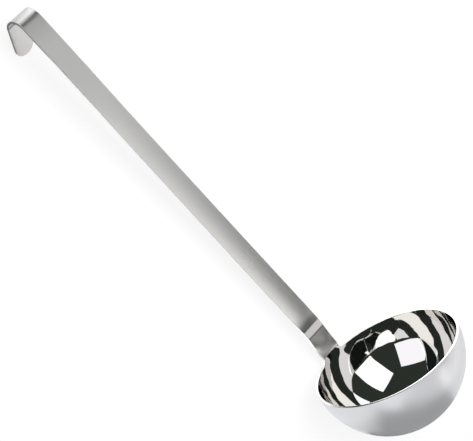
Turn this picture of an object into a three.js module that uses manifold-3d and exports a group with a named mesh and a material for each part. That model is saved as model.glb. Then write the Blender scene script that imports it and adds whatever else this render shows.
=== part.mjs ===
// Soup ladle in stainless steel: a drawn bowl with a neck lug, a dressed butt weld and a bent strip handle.
// Lengths are millimetres, angles are degrees. The ladle lies on its back, +Z is up and +X points to the bowl.
import * as THREE from "three";
import { mergeVertices } from "three/addons/utils/BufferGeometryUtils.js";
import Module from "manifold-3d";

const wasm = await Module();
wasm.setup();

// Sheet that the bowl and the handle are both pressed from.
const sheetThickness = 1.6;

// Bowl, a half sphere that is open at its rim.
const bowlRadius = 50;

// Neck, which leans out from the rim up to the bend.
const neckTilt = 9.8;
const neckLength = 23.2;
const neckFillet = 3;
const lugLand = 0.3;
const weldHeight = 1;
const bendRadius = 14;

// Handle, a strip with a slight bow along it, a crowned front and a wider flat stretch under the hook.
const handleTilt = 21.7;
const handleLength = 266;
const handleWidth = 16;
const handleBow = 0.8;
const crownRadius = 110;
const crownFade = 42;
const flatLength = 45;
const flatWidth = 16.8;

// Hook, rolled backwards on a round former, with a rounded tongue at its end.
const hookRadius = 8;
const hookTurn = 141;
const tongueLength = 23.4;
const tongueRound = 6.6;

// Fineness of the round surfaces.
const bowlSegments = 72;
const bowlBands = 12;
const stripColumns = 12;

const radians = THREE.MathUtils.degToRad;

// Manifold solid of a closed three.js geometry.
function solidOf(geometry) {
  const plain = geometry.clone();
  plain.deleteAttribute("normal");
  plain.deleteAttribute("uv");
  const merged = mergeVertices(plain, 1e-4);
  return new wasm.Manifold(
    new wasm.Mesh({
      numProp: 3,
      vertProperties: new Float32Array(merged.attributes.position.array),
      triVerts: new Uint32Array(merged.index.array),
    }),
  );
}

// Three.js geometry of a manifold solid.
function geometryOf(solid) {
  const mesh = solid.getMesh();
  const geometry = new THREE.BufferGeometry();
  geometry.setAttribute("position", new THREE.BufferAttribute(new Float32Array(mesh.vertProperties), 3));
  geometry.setIndex(new THREE.BufferAttribute(new Uint32Array(mesh.triVerts), 1));
  geometry.computeVertexNormals();
  return geometry;
}

// Strip's middle line, as stretches that each have a length and a turn. It starts at the rim, in the wall's
// middle, and runs in the plane of the bowl's axis with the handle on the -X side.
const bow = radians(handleBow);
const neckBend = radians(handleTilt - neckTilt) + bow / 2;
const bendReach = bendRadius * Math.tan(neckBend / 2);
const path = {
  neck: { length: neckLength - bendReach, turn: 0, rows: 6 },
  bend: { length: bendRadius * neckBend, turn: neckBend, rows: 6 },
  shaft: { length: handleLength - bendReach - flatLength, turn: -bow, rows: 26 },
  flat: { length: flatLength, turn: 0, rows: 2 },
  hook: { length: hookRadius * radians(hookTurn), turn: radians(hookTurn), rows: 22 },
  tongue: { length: tongueLength, turn: 0, rows: 5 },
};

let pathLength = 0;
let pathEnd = { reach: bowlRadius - sheetThickness / 2, rise: 0, lean: radians(neckTilt) };
for (const stretch of Object.values(path)) {
  stretch.from = pathLength;
  stretch.start = pathEnd;
  pathLength += stretch.length;
  pathEnd = pointAlong(stretch, stretch.length);
}

// Point at a distance into a stretch: its reach from the bowl's axis, its rise above the rim, and its lean.
function pointAlong(stretch, distance) {
  const { reach, rise, lean } = stretch.start;
  if (stretch.turn === 0) {
    return { reach: reach + distance * Math.sin(lean), rise: rise + distance * Math.cos(lean), lean };
  }
  const radius = stretch.length / stretch.turn;
  const newLean = lean + distance / radius;
  return {
    reach: reach + radius * (Math.cos(lean) - Math.cos(newLean)),
    rise: rise + radius * (Math.sin(newLean) - Math.sin(lean)),
    lean: newLean,
  };
}

// Point at a distance from the rim along the whole strip.
function pointAt(station) {
  const stretches = Object.values(path);
  const inside = stretches.find((stretch) => station <= stretch.from + stretch.length);
  const stretch = inside ?? stretches[stretches.length - 1];
  return pointAlong(stretch, station - stretch.from);
}

// The weld lies just above the lug's fillets.
const weldFrom = neckFillet / Math.cos(radians(neckTilt)) + lugLand;
const weldTo = weldFrom + weldHeight;

// Share of a fade that is over at a station.
const fade = THREE.MathUtils.smoothstep;

// Curve across the strip: hollow in front at the weld, as the lug is a piece of a cone about the bowl's axis,
// straight at the bend, crowned in front along the shaft and straight again from the flat stretch on.
const lugCurve = Math.cos(radians(neckTilt)) / pointAt(weldFrom).reach;
function curveAcross(station) {
  const bendTo = path.bend.from + path.bend.length;
  const hollow = 1 - fade(station, weldTo, path.bend.from);
  const crown = fade(station, path.bend.from, bendTo + path.bend.length);
  return lugCurve * hollow - (crown * (1 - flatShare(station))) / crownRadius;
}

// Share of the flat stretch's form at a station.
function flatShare(station) {
  return fade(station, path.flat.from - crownFade, path.flat.from);
}

// Closed strip through the given stations: a box of rows and columns whose vertices are moved into place.
function stripGeometry(stations) {
  const rows = stations.length - 1;
  const geometry = new THREE.BoxGeometry(2, 2, 2, stripColumns, 1, rows);
  const vertices = geometry.attributes.position;
  for (let i = 0; i < vertices.count; i += 1) {
    const column = Math.round(((vertices.getX(i) + 1) / 2) * stripColumns);
    const row = Math.round(((vertices.getZ(i) + 1) / 2) * rows);
    const towardBack = vertices.getY(i);
    const station = stations[row];

    // Columns stand closer at the sides, which gives the tongue its even round.
    const swing = Math.PI * (column / stripColumns - 0.5);
    const width = THREE.MathUtils.lerp(handleWidth, flatWidth, flatShare(station));
    const across = (width / 2) * Math.sin(swing);

    // The tongue's rows draw back towards the sides.
    const intoTongue = Math.max(0, (station - path.tongue.from) / path.tongue.length);
    const { reach, rise, lean } = pointAt(station - intoTongue * tongueRound * (1 - Math.cos(swing)));

    // Both faces take the curve across the strip, so that the sheet keeps its thickness.
    const back = (towardBack * sheetThickness - curveAcross(station) * across ** 2) / 2;
    vertices.setXYZ(i, -(reach + back * Math.cos(lean)), across, rise - back * Math.sin(lean));
  }
  geometry.computeVertexNormals();
  return geometry;
}

// Bowl: the half sphere and a collar round its whole rim, spun as one profile. The collar leans like the neck.
function wallPoint(station, towardBack) {
  const { reach, rise, lean } = pointAt(station);
  const back = (towardBack * sheetThickness) / 2;
  return new THREE.Vector2(reach + back * Math.cos(lean), rise - back * Math.sin(lean));
}

function spherePoints(radius) {
  const points = [new THREE.Vector2(0, -radius)];
  for (let band = 1; band < bowlBands; band += 1) {
    const angle = (Math.PI / 2) * (band / bowlBands);
    points.push(new THREE.Vector2(radius * Math.sin(angle), -radius * Math.cos(angle)));
  }
  return points;
}

const collarTop = weldTo;
const profile = [
  ...spherePoints(bowlRadius),
  wallPoint(lugLand, 1),
  wallPoint(collarTop, 1),
  wallPoint(collarTop, -1),
  wallPoint(lugLand, -1),
  ...spherePoints(bowlRadius - sheetThickness).reverse(),
];
const spun = new THREE.LatheGeometry(profile, bowlSegments);
spun.rotateX(Math.PI / 2);

// Everything of the collar is trimmed away down to the rim, apart from the lug with its two fillets.
const trimReach = 2 * (bowlRadius + collarTop);
const trimHeight = 2 * collarTop;
const lugHalf = handleWidth / 2;
const filletSweep = radians(80);
const filletSide = lugHalf + neckFillet;
const filletRise = neckFillet * Math.sin(filletSweep);
const filletFoot = filletSide - neckFillet * Math.cos(filletSweep);
const lugOutline = new THREE.Shape();
lugOutline.moveTo(-filletFoot, -trimHeight);
lugOutline.absarc(-filletSide, filletRise, neckFillet, -filletSweep, 0, false);
lugOutline.lineTo(-lugHalf, trimHeight);
lugOutline.lineTo(lugHalf, trimHeight);
lugOutline.absarc(filletSide, filletRise, neckFillet, Math.PI, Math.PI + filletSweep, false);
lugOutline.lineTo(filletFoot, -trimHeight);
lugOutline.closePath();
const lugPrism = new THREE.ExtrudeGeometry(lugOutline, {
  depth: trimReach / 2,
  bevelEnabled: false,
  curveSegments: 8,
});
lugPrism.rotateX(Math.PI / 2);
lugPrism.rotateZ(-Math.PI / 2);
const trimBlock = new THREE.BoxGeometry(trimReach, trimReach, trimHeight);
trimBlock.translate(0, 0, trimHeight / 2);

// The lug's top is cut square to the neck, so that the weld sits flat on it.
const lugTop = pointAt(weldFrom);
const topBlock = new THREE.BoxGeometry(trimReach, trimReach, trimHeight);
topBlock.translate(0, 0, trimHeight / 2);
topBlock.rotateY(-lugTop.lean);
topBlock.translate(-lugTop.reach, 0, lugTop.rise);
const bowlSolid = solidOf(spun)
  .subtract(solidOf(trimBlock).subtract(solidOf(lugPrism)))
  .subtract(solidOf(topBlock));

// Weld: the narrow slice of strip between the lug's top and the handle's foot.
const weldGeometry = stripGeometry([weldFrom, weldTo]);

// Handle: rows from the weld to the end of the tongue, closer where the strip bends.
const handleStations = [weldTo];
for (const stretch of Object.values(path)) {
  for (let row = 1; row <= stretch.rows; row += 1) {
    const station = stretch.from + (stretch.length * row) / stretch.rows;
    if (station > weldTo + sheetThickness / 2) {
      handleStations.push(station);
    }
  }
}
const handleGeometry = stripGeometry(handleStations);

// Steel finishes.
const polished = new THREE.MeshStandardMaterial({ color: 0xcfd0d3, roughness: 0.2, metalness: 1 });
const dressed = new THREE.MeshStandardMaterial({ color: 0xbcbcbc, roughness: 0.35, metalness: 1 });
const brushed = new THREE.MeshStandardMaterial({ color: 0xb8b7b5, roughness: 0.45, metalness: 1 });

const bowl = new THREE.Mesh(geometryOf(bowlSolid), polished);
bowl.name = "bowl";
const weld = new THREE.Mesh(weldGeometry, dressed);
weld.name = "weld_seam";
const handle = new THREE.Mesh(handleGeometry, brushed);
handle.name = "handle";

// The ladle lies with the bowl's belly and the tongue's outer edge on the same level.
const tip = pointAt(pathLength);
const tipReach = tip.reach - (sheetThickness / 2) * Math.cos(tip.lean);
const tipRise = tip.rise + (sheetThickness / 2) * Math.sin(tip.lean);
const tipDistance = Math.hypot(tipReach, tipRise);
const upAngle = Math.atan2(tipRise, tipReach) + Math.acos(-bowlRadius / tipDistance);
const lying = new THREE.Group();
lying.name = "lying";
lying.add(bowl, weld, handle);
lying.rotation.y = Math.PI / 2 - upAngle;

// The origin is under the middle of the ladle, on the level that it lies on.
const ladle = new THREE.Group();
ladle.name = "soup_ladle";
ladle.add(lying);
ladle.updateMatrixWorld(true);
const box = new THREE.Box3().setFromObject(ladle, true);
lying.position.set(-(box.min.x + box.max.x) / 2, -(box.min.y + box.max.y) / 2, -box.min.z);

export default ladle;
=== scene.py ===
from math import asin, cos, pi, radians, sin

import bmesh
import bpy
from mathutils import Matrix, Quaternion, Vector


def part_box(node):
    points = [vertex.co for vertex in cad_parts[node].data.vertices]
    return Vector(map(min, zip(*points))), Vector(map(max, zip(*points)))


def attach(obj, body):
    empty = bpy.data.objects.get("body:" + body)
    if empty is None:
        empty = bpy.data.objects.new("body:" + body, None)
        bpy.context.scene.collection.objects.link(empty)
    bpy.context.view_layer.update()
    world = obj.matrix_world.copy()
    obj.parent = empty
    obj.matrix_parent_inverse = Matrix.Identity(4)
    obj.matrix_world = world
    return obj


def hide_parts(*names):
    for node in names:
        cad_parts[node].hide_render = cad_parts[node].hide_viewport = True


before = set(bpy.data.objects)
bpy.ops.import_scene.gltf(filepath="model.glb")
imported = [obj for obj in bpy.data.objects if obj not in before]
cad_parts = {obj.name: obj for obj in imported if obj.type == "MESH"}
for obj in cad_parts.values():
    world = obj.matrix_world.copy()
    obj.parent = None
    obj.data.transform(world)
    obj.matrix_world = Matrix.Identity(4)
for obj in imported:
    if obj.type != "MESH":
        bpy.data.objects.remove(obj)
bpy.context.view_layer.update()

# Camera. It looks down at the lying ladle from a metre and a half away with a long lens, so there is little
# perspective. It is rolled over, so the handle runs from the upper left to the bowl at the lower right.
camera_aim = Vector((0.00632, -0.00332, 0.04264))
camera_distance = 1.591
camera_azimuth = radians(-93.525)
camera_elevation = radians(56.624)
camera_roll = radians(48.256)
camera = bpy.data.objects.new("camera", bpy.data.cameras.new("camera"))
camera.data.lens = 191.9
camera.data.sensor_width = 36
camera.data.clip_end = 20
camera_back = Vector(
    (
        cos(camera_elevation) * cos(camera_azimuth),
        cos(camera_elevation) * sin(camera_azimuth),
        sin(camera_elevation),
    )
)
camera.rotation_mode = "QUATERNION"
camera.rotation_quaternion = camera_back.to_track_quat("Z", "Y") @ Quaternion((0, 0, 1), camera_roll)
camera.location = camera_aim + camera_distance * camera_back
bpy.context.scene.collection.objects.link(camera)
bpy.context.scene.camera = camera
bpy.context.scene.view_settings.view_transform = "Standard"

# Table. A wide sheet of matt white card that the ladle lies on. The camera and the steel see it close to
# plain white, with what is left of the ladle's soft shadow.
table_half = 4.0
table_to_white = 0.85
sharp_edge = pi / 9


def linear(hex_colour):
    """Linear colour with alpha of an sRGB hex colour."""
    channels = [int(hex_colour[i : i + 2], 16) / 255 for i in (1, 3, 5)]
    return [c / 12.92 if c <= 0.04045 else ((c + 0.055) / 1.055) ** 2.4 for c in channels] + [1]


def add_node(owner, kind, inputs, **settings):
    """Adds a node to a material's or a world's tree. An input is a plain value or another node's output."""
    node = owner.node_tree.nodes.new(kind)
    for name, value in settings.items():
        setattr(node, name, value)
    for name, value in inputs.items():
        if isinstance(value, bpy.types.NodeSocket):
            owner.node_tree.links.new(value, node.inputs[name])
        else:
            node.inputs[name].default_value = value
    return node


def new_material(name):
    """Material with an empty node tree."""
    material = bpy.data.materials.new(name)
    material.use_nodes = True
    material.node_tree.nodes.clear()
    return material


def seen_rays(owner):
    """Output that is 1 to the camera and to what metal or glass shows, and 0 to light on matt surfaces."""
    path = add_node(owner, "ShaderNodeLightPath", {})
    mirrored = add_node(
        owner,
        "ShaderNodeMath",
        {0: path.outputs["Is Glossy Ray"], 1: path.outputs["Is Transmission Ray"]},
        operation="MAXIMUM",
    )
    seen = add_node(
        owner,
        "ShaderNodeMath",
        {0: path.outputs["Is Camera Ray"], 1: mirrored.outputs[0]},
        operation="MAXIMUM",
    )
    return seen.outputs[0]


def new_object(name, bm):
    """Object that holds a finished bmesh, in the scene, smoothly shaded but for its sharp edges."""
    for face in bm.faces:
        face.smooth = True
    for edge in bm.edges:
        edge.smooth = edge.calc_face_angle(0) < sharp_edge
    mesh = bpy.data.meshes.new(name)
    bm.to_mesh(mesh)
    bm.free()
    piece = bpy.data.objects.new(name, mesh)
    bpy.context.scene.collection.objects.link(piece)
    return piece


table_card = new_material("matt_white_card")
lit_card = add_node(table_card, "ShaderNodeBsdfDiffuse", {"Color": linear("#f2f2f2")})
white_card = add_node(table_card, "ShaderNodeEmission", {"Color": linear("#ffffff"), "Strength": 1})
whitened = add_node(
    table_card, "ShaderNodeMath", {0: seen_rays(table_card), 1: table_to_white}, operation="MULTIPLY"
)
seen_card = add_node(
    table_card,
    "ShaderNodeMixShader",
    {0: whitened.outputs[0], 1: lit_card.outputs[0], 2: white_card.outputs[0]},
)
add_node(table_card, "ShaderNodeOutputMaterial", {"Surface": seen_card.outputs[0]})
bm = bmesh.new()
bmesh.ops.create_grid(bm, x_segments=1, y_segments=1, size=table_half)
table = new_object("table", bm)
table.data.materials.append(table_card)

# Cards on the table, which only the steel shows. Black cloths lie beside and beyond the handle, and grey
# card before the belly. Lit cards stand behind the bowl's mouth and by the hook, and lie under the belly and
# beside the handle, there under a louvre of black slats that hides the card from the bowl.
card_height = 0.001
black_cloth = "#161a18"
near_cloth = [(0.092, -0.017), (0.000, -0.030), (-0.158, -0.050), (-3.140, -2.530), (0.060, -0.230)]
hook_shade = [(-0.160, -0.010), (-0.155, -0.050), (-0.260, -0.050), (-0.260, -0.010)]
far_cloth = [(0.095, 0.008), (-0.600, 0.510), (-0.900, 0.510), (-0.300, 0.130), (-0.130, 0.008)]
end_cloth = [(-0.450, -0.290), (-0.450, 0.220), (-0.900, 0.510), (-3.500, 2.000), (-3.500, -2.500)]
front_card = [(0.172, -0.045), (0.165, 0.035), (1.100, 0.370), (0.900, -0.450), (0.200, -0.200)]
flat_cards = {
    "near_cloth": (near_cloth, black_cloth),
    "far_cloth": (far_cloth, black_cloth),
    "end_cloth": (end_cloth, black_cloth),
    "hook_shade": (hook_shade, "#7c807e"),
    "front_card": (front_card, "#9c9e9d"),
}

# A lit card has two or three folds, each from one of its sides to the other, and a radiance. The one under the
# belly fades to grey.
lit_height = 0.002
bent_card = [
    ((0.086, 0.020, lit_height), (0.086, 0.211, lit_height)),
    ((-0.135, 0.165, lit_height), (0.040, 0.330, lit_height)),
    ((-0.104, 0.243, 0.152), (0.036, 0.359, 0.086)),
]
hook_card = [
    ((-0.300, 0.073, lit_height), (-0.215, 0.060, lit_height)),
    ((-0.300, 0.073, 0.110), (-0.215, 0.060, 0.110)),
]
side_card = [
    ((0.104, -0.020, lit_height), (-0.150, -0.040, lit_height)),
    ((0.104, -0.009, lit_height), (-0.150, -0.012, lit_height)),
]
belly_card = [
    ((0.112, -0.040, lit_height), (0.205, -0.040, lit_height)),
    ((0.112, -0.200, lit_height), (0.301, -0.200, lit_height)),
]
lit_cards = {
    "bent_card": (bent_card, 2.2),
    "hook_card": (hook_card, 2.45),
    "side_card": (side_card, 1.9),
    "belly_card": (belly_card, 1.1),
}
belly_fade_along = (1, 0.64, 0)
belly_fade = (0.120, 0.173)
belly_grey = 0.38
louvre_places = (-0.150, 0.060)
louvre_sides = (-0.042, -0.010)
louvre_slats = 36
louvre_height = 0.006


def reflected_only(bm, material, surface):
    """Stage piece that shows in the steel, and neither to the camera nor to the table."""
    add_node(material, "ShaderNodeOutputMaterial", {"Surface": surface.outputs[0]})
    card = new_object(material.name, bm)
    card.data.materials.append(material)
    card.visible_camera = False
    card.visible_diffuse = False
    card.visible_shadow = False


for name, (corners, colour) in flat_cards.items():
    bm = bmesh.new()
    bm.faces.new([bm.verts.new((x, y, card_height)) for x, y in corners])
    cloth = new_material(name)
    reflected_only(bm, cloth, add_node(cloth, "ShaderNodeBsdfDiffuse", {"Color": linear(colour)}))
for name, (folds, radiance) in lit_cards.items():
    bm = bmesh.new()
    rows = [[bm.verts.new(corner) for corner in fold] for fold in folds]
    for low, high in zip(rows, rows[1:]):
        bm.faces.new((low[0], low[1], high[1], high[0]))
    glow = new_material(name)
    if name == "belly_card":
        place = add_node(glow, "ShaderNodeTexCoord", {})
        fade_place = add_node(
            glow,
            "ShaderNodeVectorMath",
            {0: place.outputs["Object"], 1: belly_fade_along},
            operation="DOT_PRODUCT",
        )
        faded = add_node(
            glow,
            "ShaderNodeMapRange",
            {
                "Value": fade_place.outputs["Value"],
                "From Min": belly_fade[0],
                "From Max": belly_fade[1],
                "To Min": radiance,
                "To Max": belly_grey,
            },
        )
        radiance = faded.outputs["Result"]
    reflected_only(bm, glow, add_node(glow, "ShaderNodeEmission", {"Strength": radiance}))
bm = bmesh.new()
for i in range(louvre_slats):
    x = louvre_places[0] + (louvre_places[1] - louvre_places[0]) * i / (louvre_slats - 1)
    foot = [bm.verts.new((x, y, card_height)) for y in louvre_sides]
    top = [bm.verts.new((x, y, card_height + louvre_height)) for y in louvre_sides]
    bm.faces.new((foot[0], foot[1], top[1], top[0]))
slats = new_material("side_louvre")
reflected_only(bm, slats, add_node(slats, "ShaderNodeBsdfDiffuse", {"Color": linear(black_cloth)}))

# Studio. White walls, with dim curtains drawn round the table in front of them. The camera looks past the
# curtains, and the steel shows them.
curtain_reach = 3.9
curtain_light = 0.055
studio = bpy.data.worlds.new("studio")
studio.use_nodes = True
studio.node_tree.nodes.clear()
white_walls = add_node(
    studio, "ShaderNodeBackground", {"Color": linear("#ffffff"), "Strength": seen_rays(studio)}
)
add_node(studio, "ShaderNodeOutputWorld", {"Surface": white_walls.outputs[0]})
bpy.context.scene.world = studio
curtain_cloth = new_material("dim_curtain")
curtain_cloth.cycles.emission_sampling = "NONE"
curtain_glow = add_node(
    curtain_cloth, "ShaderNodeEmission", {"Color": linear("#c8dccc"), "Strength": curtain_light}
)
add_node(curtain_cloth, "ShaderNodeOutputMaterial", {"Surface": curtain_glow.outputs[0]})
bm = bmesh.new()
bmesh.ops.create_icosphere(bm, subdivisions=4, radius=curtain_reach)
bmesh.ops.bisect_plane(
    bm,
    geom=bm.verts[:] + bm.edges[:] + bm.faces[:],
    plane_co=(0, 0, card_height),
    plane_no=(0, 0, 1),
    clear_inner=True,
)
curtain = new_object("dim_curtain", bm)
curtain.data.materials.append(curtain_cloth)
curtain.visible_camera = False
curtain.visible_shadow = False

# Soft boxes. A wide lamp overhead, six round the ladle, and a narrow one that the bend in the neck shows.
# Each has an offset from the bowl's middle, a direction that it faces and one that its width runs along.
bowl_radius = 0.050
bowl_centre = Vector((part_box("bowl")[1].x - bowl_radius, 0, bowl_radius))
box_places = {
    "box_overhead": ((-0.187, -0.004, 0.880), (0.142, -0.102, -0.985), (0.989, 0.065, 0.136)),
    "box_near": ((-0.426, -0.757, 0.236), (0.051, 0.910, -0.411), (-0.925, 0.199, 0.325)),
    "box_far": ((-0.055, 0.830, 0.370), (0.06, -0.88, -0.47), (1, 0, 0)),
    "box_right": ((0.75, 0.75, 0.25), (-1, -1, -0.25), (1, -1, 0)),
    "box_front": ((0.55, -0.85, 0.30), (-0.55, 0.85, -0.25), (1, 0.6, 0)),
    "box_end": ((1.10, -0.05, 0.42), (-1, 0, -0.25), (0, 1, 0)),
    "box_high": ((0.74, 0, 0.82), (-0.74, 0, -0.82), (0, 1, 0)),
    "box_bend": ((0.178, 0.485, 0.453), (-0.272, -0.670, -0.690), (0.93, 0, -0.367)),
}

# The width, height, radiance and tint of each soft box.
box_lights = {
    "box_overhead": (0.808, 0.618, 1.6, "#fffdfb"),
    "box_near": (0.611, 0.765, 1.32, "#fcfaff"),
    "box_far": (0.750, 0.560, 1.4, "#fafaff"),
    "box_right": (1.0, 0.6, 1.05, "#fffbfa"),
    "box_front": (1.0, 0.7, 1.16, "#fffdff"),
    "box_end": (1.2, 0.75, 0.90, "#fffdff"),
    "box_high": (1.1, 0.40, 0.90, "#fffdff"),
    "box_bend": (0.150, 0.42, 0.95, "#fffaf8"),
}
for name, (offset, facing, along) in box_places.items():
    width, height, radiance, tint = box_lights[name]
    lamp = bpy.data.lights.new(name, "AREA")
    lamp.shape = "RECTANGLE"
    lamp.size = width
    lamp.size_y = height
    lamp.energy = radiance * pi * width * height
    lamp.color = linear(tint)[:3]
    box_back = -Vector(facing).normalized()
    box_across = Vector(along)
    box_across = (box_across - box_across.dot(box_back) * box_back).normalized()
    box_turn = Matrix((box_across, box_back.cross(box_across), box_back)).transposed().to_4x4()
    soft_box = bpy.data.objects.new(name, lamp)
    soft_box.matrix_world = Matrix.Translation(bowl_centre + Vector(offset)) @ box_turn
    soft_box.visible_camera = False
    bpy.context.scene.collection.objects.link(soft_box)

# Fill lamp. A large soft lamp, high over the table, which lights the white card evenly.
# It doesn't show in the steel.
fill = bpy.data.lights.new("fill", "AREA")
fill.size = 2.0
fill.energy = 36
fill_lamp = bpy.data.objects.new("fill", fill)
fill_lamp.location = (0, 0, 2)
fill_lamp.visible_camera = False
fill_lamp.visible_glossy = False
bpy.context.scene.collection.objects.link(fill_lamp)

# Bowl. A half sphere deep drawn from stainless sheet, with a lug left standing on its rim for the handle.
# It is mirror polished inside and satin outside, and its trimmed lip is painted whiter than the walls, a
# painted highlight. The ladle lies on its belly.
sheet_thickness = 0.0016
bowl_columns = 360
belly_rows = 52
collar_rows = 24
collar_share = radians(14)
neck_fillet = 0.003
lug_half = 0.008
lug_height = 0.0033
lug_columns = 5
fillet_columns = 8
lip_round = 0.00015
merge_distance = 1e-6
lying_turn = radians(-64.383)
lying = Matrix.Translation(bowl_centre) @ Matrix.Rotation(lying_turn, 4, "Y")


def rim_place(column):
    """Sideways place and height of the trimmed rim at a column, counted from the middle of the lug."""
    if column <= lug_columns:
        return lug_half * column / lug_columns, lug_height
    swing = (pi / 2) * (1 - (column - lug_columns) / fillet_columns)
    return lug_half + neck_fillet * (1 - sin(swing)), neck_fillet * (1 - cos(swing))


bm = bmesh.new()
bottom = bm.verts.new((0, 0, -bowl_radius))
arc = bmesh.ops.spin(
    bm, geom=[bottom], cent=(0, 0, 0), axis=(0, 1, 0), angle=-(pi / 2 - collar_share), steps=belly_rows
)
arc_end = [v for v in arc["geom_last"] if isinstance(v, bmesh.types.BMVert)]
bmesh.ops.spin(bm, geom=arc_end, cent=(0, 0, 0), axis=(0, 1, 0), angle=-collar_share, steps=collar_rows)
bmesh.ops.spin(
    bm,
    geom=bm.verts[:] + bm.edges[:],
    cent=(0, 0, 0),
    axis=(0, 0, 1),
    angle=2 * pi,
    steps=bowl_columns,
    use_merge=True,
)
bmesh.ops.remove_doubles(bm, verts=bm.verts, dist=merge_distance)
bmesh.ops.recalc_face_normals(bm, faces=bm.faces)

# The collar's rows rise straight up into the lug and its fillets, where its columns close up.
collar_depth = bowl_radius * collar_share
column_angle = 2 * pi / bowl_columns
for v in bm.verts:
    around = Vector((-v.co.x, v.co.y)).angle_signed(Vector((1, 0)), 0)
    depth = bowl_radius * asin(max(-1, min(1, v.co.z / bowl_radius)))
    share = 1 + depth / collar_depth
    column = abs(around) / column_angle
    if share <= 0 or column > lug_columns + fillet_columns + 0.5:
        continue
    aside, rim_height = rim_place(round(column))
    new_around = (1 - share) * abs(around) + share * asin(aside / bowl_radius)
    station = (collar_depth + rim_height) * share - collar_depth
    below = min(station, 0) / bowl_radius
    reach = bowl_radius * cos(below)
    side = 1 if v.co.y > 0 else -1
    v.co.x = -reach * cos(new_around)
    v.co.y = side * reach * sin(new_around)
    v.co.z = bowl_radius * sin(below) + max(station, 0)
bmesh.ops.solidify(bm, geom=bm.faces[:], thickness=sheet_thickness)
OUTSIDE, INSIDE, LIP = range(3)
wall_facing = 0.5
for face in bm.faces:
    outwards = face.normal.dot(face.calc_center_median().normalized())
    face.material_index = OUTSIDE if outwards > wall_facing else INSIDE if outwards < -wall_facing else LIP

sheared_edge = pi / 3
cut_tolerance = 1e-5


def round_trimmed_edges(bm, radius, cuts):
    """Rounds the sheared edges of a sheet, apart from those at its cuts, which are square for welding."""
    sharp = [edge for edge in bm.edges if edge.calc_face_angle(0) > sheared_edge]
    trimmed = [
        edge
        for edge in sharp
        if not any(
            all(abs((v.co - place).dot(along)) < cut_tolerance for v in edge.verts) for place, along in cuts
        )
    ]
    bmesh.ops.bevel(bm, geom=trimmed, offset=radius, segments=3, profile=0.5, affect="EDGES", material=-1)


round_trimmed_edges(bm, lip_round, [(Vector((0, 0, lug_height)), Vector((0, 0, 1)))])
bm.transform(lying)

noise_low = 0.3
noise_high = 0.7


def grain(material, pattern_place, scale, smoothest, roughest, **noise_inputs):
    """Noise pattern of a ground or polished surface, and a roughness that follows it between two values."""
    pattern = add_node(
        material, "ShaderNodeTexNoise", {"Vector": pattern_place, "Scale": scale, **noise_inputs}
    )
    roughness = add_node(
        material,
        "ShaderNodeMapRange",
        {
            "Value": pattern.outputs["Fac"],
            "From Min": noise_low,
            "From Max": noise_high,
            "To Min": smoothest,
            "To Max": roughest,
        },
    )
    return pattern.outputs["Fac"], roughness.outputs["Result"]


def bare_steel(material, inputs):
    """Bare metal all over a material, with its colour, roughness and the rest of its inputs."""
    shader = add_node(material, "ShaderNodeBsdfPrincipled", {"Metallic": 1, **inputs})
    add_node(material, "ShaderNodeOutputMaterial", {"Surface": shader.outputs[0]})


# Satin steel: the outside is brushed with a fine fleece, which leaves a soft, even sheen. Its grit is drawn
# some ten times coarser than it is, so that it shows.
satin_grit = 0.0006
satin_steel = new_material("satin_stainless_steel")
satin_place = add_node(satin_steel, "ShaderNodeTexCoord", {}).outputs["Object"]
satin_cloud, satin_rough = grain(
    satin_steel, satin_place, 1 / satin_grit, 0.31, 0.35, Detail=2.0, Roughness=0.6
)
satin_bump = add_node(
    satin_steel, "ShaderNodeBump", {"Height": satin_cloud, "Strength": 0.02, "Distance": 0.0001}
)
bare_steel(
    satin_steel,
    {"Base Color": linear("#d2d3d6"), "Roughness": satin_rough, "Normal": satin_bump.outputs["Normal"]},
)

# Mirror steel: the inside is buffed bright. The drawn sheet leaves slight waves in it, which grow towards
# the lip, so that what it mirrors there runs in wandering stripes.
wave_length = 0.012
deep_wave = 0.00002
lip_wave = 0.00040
wave_rise = (-0.026, -0.002)
bowl_axis = lying.to_3x3() @ Vector((0, 0, 1))
mirror_steel = new_material("mirror_polished_steel")
mirror_place = add_node(mirror_steel, "ShaderNodeTexCoord", {}).outputs["Object"]
draw_waves, mirror_rough = grain(mirror_steel, mirror_place, 1 / wave_length, 0.02, 0.04, Detail=1.0)
up_the_wall = add_node(
    mirror_steel, "ShaderNodeVectorMath", {0: mirror_place, 1: bowl_axis}, operation="DOT_PRODUCT"
)
wave_height = add_node(
    mirror_steel,
    "ShaderNodeMapRange",
    {
        "Value": up_the_wall.outputs["Value"],
        "From Min": bowl_centre.dot(bowl_axis) + wave_rise[0],
        "From Max": bowl_centre.dot(bowl_axis) + wave_rise[1],
        "To Min": deep_wave,
        "To Max": lip_wave,
    },
)
mirror_bump = add_node(
    mirror_steel,
    "ShaderNodeBump",
    {"Height": draw_waves, "Strength": 1, "Distance": wave_height.outputs["Result"]},
)
bare_steel(
    mirror_steel,
    {"Base Color": linear("#dcdbd9"), "Roughness": mirror_rough, "Normal": mirror_bump.outputs["Normal"]},
)

# Lip steel: the trimmed lip is painted whiter than the walls, a painted highlight for the bright line of light
# along it.
# Its grain is drawn coarser than it is, so that it shows.
lip_grain = 0.0004
lip_steel = new_material("lip_steel_painted_highlight")
lip_place = add_node(lip_steel, "ShaderNodeTexCoord", {}).outputs["Object"]
lip_cloud, lip_rough = grain(lip_steel, lip_place, 1 / lip_grain, 0.15, 0.19, Detail=2.0)
bare_steel(lip_steel, {"Base Color": linear("#f4f2f0"), "Roughness": lip_rough})

bowl = new_object("bowl_wall", bm)
bowl.data.materials.append(satin_steel)
bowl.data.materials.append(mirror_steel)
bowl.data.materials.append(lip_steel)
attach(bowl, "root")
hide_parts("bowl")

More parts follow.
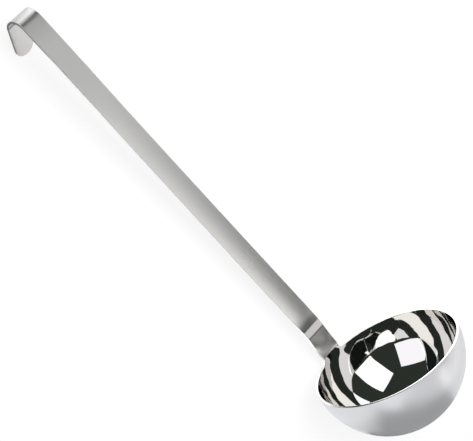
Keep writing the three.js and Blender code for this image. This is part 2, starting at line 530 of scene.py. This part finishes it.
# Handle. One strip of stainless sheet, sheared to width, bent at the neck by two folds close together,
# pressed to a slight crown along its front and rolled over into the hook. Its foot is butt welded to the
# bowl's lug, and it is brushed lengthways.
weld_height = 0.001
strip_width = 0.016
foot_length = 0.0015
foot_turn = radians(12.69)
low_neck_length = 0.0055
neck_set_length = 0.0025
neck_set_turn = radians(-2.2)
high_neck_length = 0.005884
high_neck_turn = radians(-1.8)
low_fold_radius = 0.014
low_fold_turn = radians(7.31)
fold_face = 0.0036
high_fold_radius = 0.008
high_fold_turn = radians(6.1)
shaft_length = 0.21934
shaft_bow = radians(-0.8)
crown_radius = 0.080
crown_fade = 0.042
crown_start = 0.011
crown_aside = 0.0064
flat_length = 0.04234
flat_width = 0.0168
roll_radius = 0.016
roll_turn = radians(20)
hook_radius = 0.00772
hook_turn = radians(121)
tongue_length = 0.0234
tongue_round = 0.0066
edge_round = 0.0004
strip_columns = 16

# Each stretch of the strip, from the rim up, has a length, a turn and a number of rows.
stretches = {
    "lug": (lug_height, 0, 1),
    "foot": (foot_length, foot_turn, 6),
    "low_neck": (low_neck_length, 0, 4),
    "neck_set": (neck_set_length, neck_set_turn, 6),
    "high_neck": (high_neck_length, high_neck_turn, 8),
    "low_fold": (low_fold_radius * low_fold_turn, low_fold_turn, 6),
    "fold_face": (fold_face, 0, 4),
    "high_fold": (high_fold_radius * high_fold_turn, high_fold_turn, 6),
    "shaft": (shaft_length, shaft_bow, 60),
    "flat": (flat_length, 0, 10),
    "roll": (roll_radius * roll_turn, roll_turn, 12),
    "hook": (hook_radius * hook_turn, hook_turn, 42),
    "tongue": (tongue_length, 0, 16),
}
weld_top = lug_height + weld_height
starts = {}
stations = [weld_top]
strip_length = 0
for name, (length, turn, rows) in stretches.items():
    starts[name] = strip_length
    spaced = [strip_length + length * row / rows for row in range(1, rows + 1)]
    stations += [station for station in spaced if station > weld_top + cut_tolerance]
    strip_length += length


def strip_point(station):
    """Reach, rise and lean of the strip's middle line at a distance from the rim."""
    reach = bowl_radius - sheet_thickness / 2
    rise = 0
    lean = 0
    for length, turn, rows in stretches.values():
        run = min(station, length)
        if turn == 0:
            reach += run * sin(lean)
            rise += run * cos(lean)
        else:
            radius = length / turn
            new_lean = lean + run / radius
            reach += radius * (cos(lean) - cos(new_lean))
            rise += radius * (sin(new_lean) - sin(lean))
            lean = new_lean
        station -= run
    return reach, rise, lean


def fade(station, start, end):
    """Share of a smooth fade that is over at a station."""
    share = min(1, max(0, (station - start) / (end - start)))
    return share**2 * (3 - 2 * share)


def strip_piece(name, stations):
    """Piece of the strip through some stations, made from its front face, with its trimmed edges rounded."""
    rows = len(stations) - 1
    bm = bmesh.new()
    bm.loops.layers.uv.new("strip")
    bmesh.ops.create_grid(bm, x_segments=strip_columns, y_segments=rows, size=1, calc_uvs=True)
    for v in bm.verts:
        station = stations[round((v.co.y + 1) / 2 * rows)]
        swing = (pi / 2) * v.co.x
        flat_share = fade(station, starts["flat"] - crown_fade, starts["flat"])
        width = strip_width + (flat_width - strip_width) * flat_share
        across = (width / 2) * sin(swing)
        hollow = 1 - fade(station, weld_top, starts["low_fold"])
        crown = fade(station, starts["high_fold"], starts["shaft"] + crown_start) * (1 - flat_share)
        dish = hollow * across**2 / bowl_radius - crown * across * (across - 2 * crown_aside) / crown_radius
        into_tongue = max(0, (station - starts["tongue"]) / tongue_length)
        reach, rise, lean = strip_point(station - into_tongue * tongue_round * (1 - cos(swing)))
        back = -(sheet_thickness + dish) / 2
        v.co = (-(reach + back * cos(lean)), across, rise - back * sin(lean))
    bmesh.ops.recalc_face_normals(bm, faces=bm.faces)
    if bm.faces[:][0].normal.x < 0:
        bmesh.ops.reverse_faces(bm, faces=bm.faces)
    bmesh.ops.solidify(bm, geom=bm.faces[:], thickness=sheet_thickness)
    cuts = []
    for reach, rise, lean in (strip_point(lug_height), strip_point(weld_top)):
        cuts.append((Vector((-reach, 0, rise)), Vector((-sin(lean), 0, cos(lean)))))
    round_trimmed_edges(bm, edge_round, cuts)
    bm.transform(lying)
    return new_object(name, bm)


handle = strip_piece("handle_strip", stations)

# Brushed steel: the strip is ground lengthways with a belt, which leaves fine straight lines, drawn coarser
# than they are so that they show. They blur what it mirrors across the strip and leave it sharper along it.
# The neck was buffed smoother after welding, so the roughness changes with the distance along X.
brush_spacing = 0.0008
brush_length = 0.025
roughness_along = {
    -0.170: 0.31,
    -0.155: 0.38,
    -0.110: 0.38,
    0.083: 0.23,
    0.086: 0.17,
    0.094: 0.17,
    0.095: 0.25,
    0.104: 0.24,
}
brushed_steel = new_material("brushed_stainless_steel")
strip_place = add_node(brushed_steel, "ShaderNodeTexCoord", {}).outputs["Object"]
lines_place = add_node(
    brushed_steel,
    "ShaderNodeMapping",
    {"Vector": strip_place, "Scale": (1 / brush_length, 1 / brush_spacing, 1 / brush_length)},
)
brush_lines, line_rough = grain(
    brushed_steel, lines_place.outputs["Vector"], 1.0, -0.008, 0.008, Detail=3.0, Roughness=0.6
)
along_handle = add_node(brushed_steel, "ShaderNodeSeparateXYZ", {"Vector": strip_place})
ramp_start = min(roughness_along)
ramp_end = max(roughness_along)
ramp_place = add_node(
    brushed_steel,
    "ShaderNodeMapRange",
    {
        "Value": along_handle.outputs["X"],
        "From Min": ramp_start,
        "From Max": ramp_end,
        "To Min": 0,
        "To Max": 1,
    },
)
buffed = add_node(brushed_steel, "ShaderNodeValToRGB", {"Fac": ramp_place.outputs["Result"]})
stops = buffed.color_ramp.elements
stops.remove(stops[1])
for ramp_x, rough in roughness_along.items():
    ramp_share = (ramp_x - ramp_start) / (ramp_end - ramp_start)
    stop = stops.new(ramp_share) if ramp_share > 0 else stops[0]
    stop.color = (rough, rough, rough, 1)
brush_rough = add_node(
    brushed_steel, "ShaderNodeMath", {0: buffed.outputs["Color"], 1: line_rough}, operation="ADD"
)
brush_bump = add_node(
    brushed_steel, "ShaderNodeBump", {"Height": brush_lines, "Strength": 0.004, "Distance": 0.0001}
)
across_strip = add_node(brushed_steel, "ShaderNodeTangent", {}, direction_type="UV_MAP", uv_map="strip")
bare_steel(
    brushed_steel,
    {
        "Base Color": linear("#d1d1d0"),
        "Roughness": brush_rough.outputs[0],
        "Anisotropic": 0.8,
        "Tangent": across_strip.outputs["Tangent"],
        "Normal": brush_bump.outputs["Normal"],
    },
)
handle.data.materials.append(brushed_steel)
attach(handle, "root")
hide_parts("handle")

# Weld. The narrow butt weld that joins the handle's foot to the bowl's lug, as wide and thick as the strip.
# It is ground flush on every side and dressed with a fine disc. It is painted lighter than the strip, a
# painted highlight that shows as a thin bright line.
weld = strip_piece("weld_line", [lug_height, lug_height + weld_height / 2, weld_top])

# Weld steel: a fine disc leaves a satin without lines, painted lighter than the strip as a painted highlight.
# Its grain is drawn coarser than it is.
weld_grain = 0.0003
weld_steel = new_material("weld_steel_painted_highlight")
weld_place = add_node(weld_steel, "ShaderNodeTexCoord", {}).outputs["Object"]
weld_cloud, weld_rough = grain(weld_steel, weld_place, 1 / weld_grain, 0.22, 0.28, Detail=2.0)
bare_steel(weld_steel, {"Base Color": linear("#e6e5e3"), "Roughness": weld_rough})
weld.data.materials.append(weld_steel)
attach(weld, "root")
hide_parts("weld_seam")
